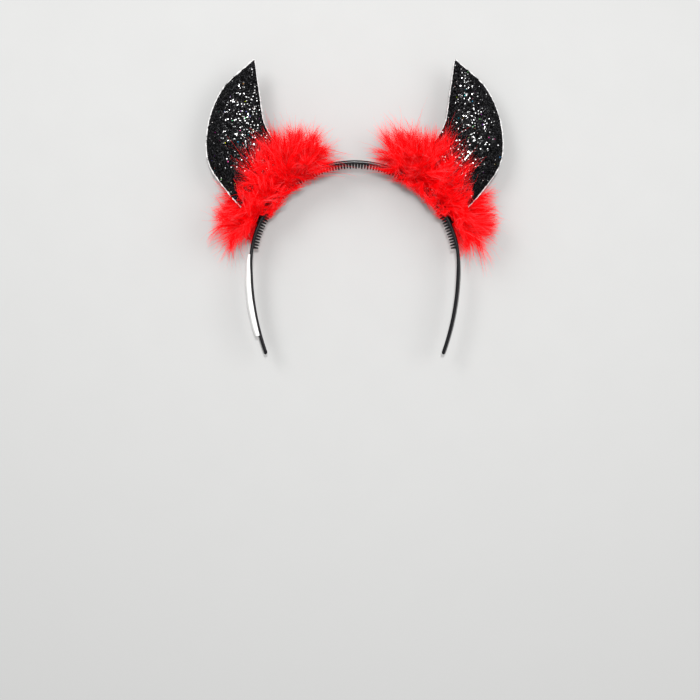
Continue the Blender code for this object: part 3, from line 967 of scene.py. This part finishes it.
def ribbons(name, paths, shade, width, finish, chance):
    """Narrow ribbons along many middle lines, in one piece, each narrowing to its end."""
    look = settings().marabou
    count, steps, _ = paths.shape
    along = unit(np.gradient(paths, axis=1))
    flat = square_to(chance.normal(0, 1, (count, 1, 3)) + 0 * along, along)
    way = np.linspace(0, 1, steps)[:, None]
    wide = width / 2 * (0.6 + 1.3 * chance.random((count, 1, 1)) ** 3) * (1 - 0.8 * way**1.5)
    points = np.stack([paths - flat * wide, paths + flat * wide], 2).reshape(-1, 3)
    points[:, 2] = np.maximum(points[:, 2], LOWEST_BARB)
    faces = (np.arange(count) * steps * 2)[:, None, None] + grid_corners(steps, 2)
    # A share of the barbs end in the pale colour: painted highlight strands
    pale = chance.random((count, 1, 1)) < look.highlight_barb_share
    # Each barb's tint runs from the darker root colour, painted shade near the quill, to its end colour
    end, mix = np.where(pale, np.array(look.pale), np.array(look.tip)), way**0.8
    tint = (np.array(look.root) * (1 - mix) + end * mix) * shade[:, None, None]
    tint = np.concatenate([tint, np.ones((count, steps, 1))], -1).reshape(-1, 4)
    faces, tints = [faces.reshape(-1, 4)], np.repeat(tint, 2, 0)
    new_piece(name, points, faces, finish, tint=tints)


class HEADBAND_OT_marabou(bpy.types.Operator):
    """Makes the two feather strands: a core of down, plumes of barbs and some long wisps"""

    bl_idname = "headband.marabou"
    bl_label = "Make the marabou"
    SMALL_PLUMES = 240
    CORE_ROWS = 90
    CORE_RING = 72
    CORE_LENGTH = 0.93

    def execute(self, context):
        look, finish = settings().marabou, feather_finish()
        for word, side in SIDES:
            strand = Strand(side)
            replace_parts(self.core(word, strand, finish), f"marabou_{word}")
            main, small = strand.main_plumes(), strand.small_plumes(self.SMALL_PLUMES)
            bundles = (
                ("barbs_main", main, 0.5, 1.25, 0.7, 5, 0.00022),
                ("barbs_outer", small, 0.9, 1.45, 0.42, 5, 0.00023),
                ("wisps", main, 0.02, 2.05, 0.7, 11, 0.00028),
            )
            for label, plumes, share, reach, slant, steps, width in bundles:
                paths, shade = strand.barbs(plumes, int(look.barbs * share), look.barb * reach, slant, steps)
                paths = strand.kept_clear(strand.pressed(paths))
                ribbons(f"marabou_{word}_{label}", paths, shade, width, finish, strand.chance)
        return {"FINISHED"}

    def core(self, word, strand, finish):
        """The roll at about six tenths of its thickness, lumpy, laid round the horn and the band, darkened as
        painted shade.
        """
        along = np.sin(np.linspace(-1.56, 1.56, self.CORE_ROWS))
        turn = np.linspace(0, 2 * math.pi, self.CORE_RING, endpoint=False)
        along, turn = (grid.ravel() for grid in np.meshgrid(along, turn, indexing="ij"))
        lumps = 0.60 + 0.05 * np.sin(along * 23 + 2 * turn) * np.sin(5 * turn + along * 9)
        ring = np.sqrt(1 - along**2) * lumps
        points = strand.place(along * self.CORE_LENGTH, ring * np.cos(turn), ring * np.sin(turn))[0]
        points = strand.kept_clear(points[:, None]).reshape(self.CORE_ROWS, self.CORE_RING, 3)
        # The down is tinted at seven tenths of the root colour: painted shade inside the roll
        tint = np.tile(tone(strand.look.root, 0.7), (len(along), 1))
        return lofted(points, finish, f"marabou_{word}_down", tint)


class HEADBAND_OT_stage(bpy.types.Operator):
    """Makes the floor, the lights and the camera"""

    bl_idname = "headband.stage"
    bl_label = "Make the stage"
    FLOOR_HALF = 6.0
    FLOOR_ROWS = 9
    # Each lamp's place, its size and its power
    LAMPS = {
        "key": ((-0.75, 0.70, 1.35), 0.7, 20.0),
        "fill": ((0.95, 0.25, 1.15), 0.9, 12.5),
        "front": ((0.02, 0.14, 1.30), 0.07, 15.0),
    }

    def execute(self, context):
        scene = context.scene
        steps = np.linspace(-self.FLOOR_HALF, self.FLOOR_HALF, self.FLOOR_ROWS)
        x, y = np.meshgrid(steps, steps)
        points = np.stack([x, y, 0 * x], -1).reshape(-1, 3)
        mesh = bpy.data.meshes.new("floor")
        mesh.from_pydata(points.tolist(), [], grid_corners(self.FLOOR_ROWS, self.FLOOR_ROWS).tolist())
        mesh.materials.append(floor_finish())
        floor = new_object("floor", mesh)
        for name, (place, size, power) in self.LAMPS.items():
            lamp = bpy.data.lights.new(name, "AREA")
            lamp.energy, lamp.size = power, size
            light = new_object(name, lamp)
            light.location = place
            light.rotation_euler = (-Vector(place)).to_track_quat("-Z", "Y").to_euler()
        world = scene.world = bpy.data.worlds.new("studio")
        world.use_nodes = True
        background = world.node_tree.nodes["Background"].inputs
        background["Color"].default_value = (1.0, 1.0, 1.0, 1.0)
        background["Strength"].default_value = 0.95
        look = settings().stage
        lens = bpy.data.cameras.new("camera")
        lens.lens = look.lens
        camera = scene.camera = new_object("camera", lens)
        camera.location = (look.foot_x, look.foot_y, MIDDLE_Z + look.distance)
        camera.rotation_euler = (-look.pitch, 0, 0)
        scene.view_settings.view_transform = "Standard"
        return {"FINISHED"}


MAKERS = (HEADBAND_OT_band, HEADBAND_OT_label, HEADBAND_OT_horns, HEADBAND_OT_marabou, HEADBAND_OT_stage)


class HEADBAND_PT_pieces(bpy.types.Panel):
    """Lists what makes the headband, piece by piece"""

    bl_label = "Headband"
    bl_idname = "HEADBAND_PT_pieces"
    bl_space_type = "VIEW_3D"
    bl_region_type = "UI"
    bl_category = "Headband"

    def draw(self, context):
        for maker in MAKERS:
            self.layout.operator(maker.bl_idname)


GROUPS = (BandSettings, LabelSettings, HornSettings, MarabouSettings, StageSettings, HeadbandSettings)
CLASSES = (*GROUPS, *MAKERS, HEADBAND_PT_pieces)


def register():
    for made in CLASSES:
        bpy.utils.register_class(made)
    bpy.types.Scene.headband = PointerProperty(type=HeadbandSettings)


def unregister():
    del bpy.types.Scene.headband
    for made in reversed(CLASSES):
        bpy.utils.unregister_class(made)


def main():
    register()
    bpy.ops.headband.band()
    bpy.ops.headband.label()
    bpy.ops.headband.horns()
    bpy.ops.headband.marabou()
    bpy.ops.headband.stage()
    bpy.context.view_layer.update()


if __name__ == "__main__":
    main()
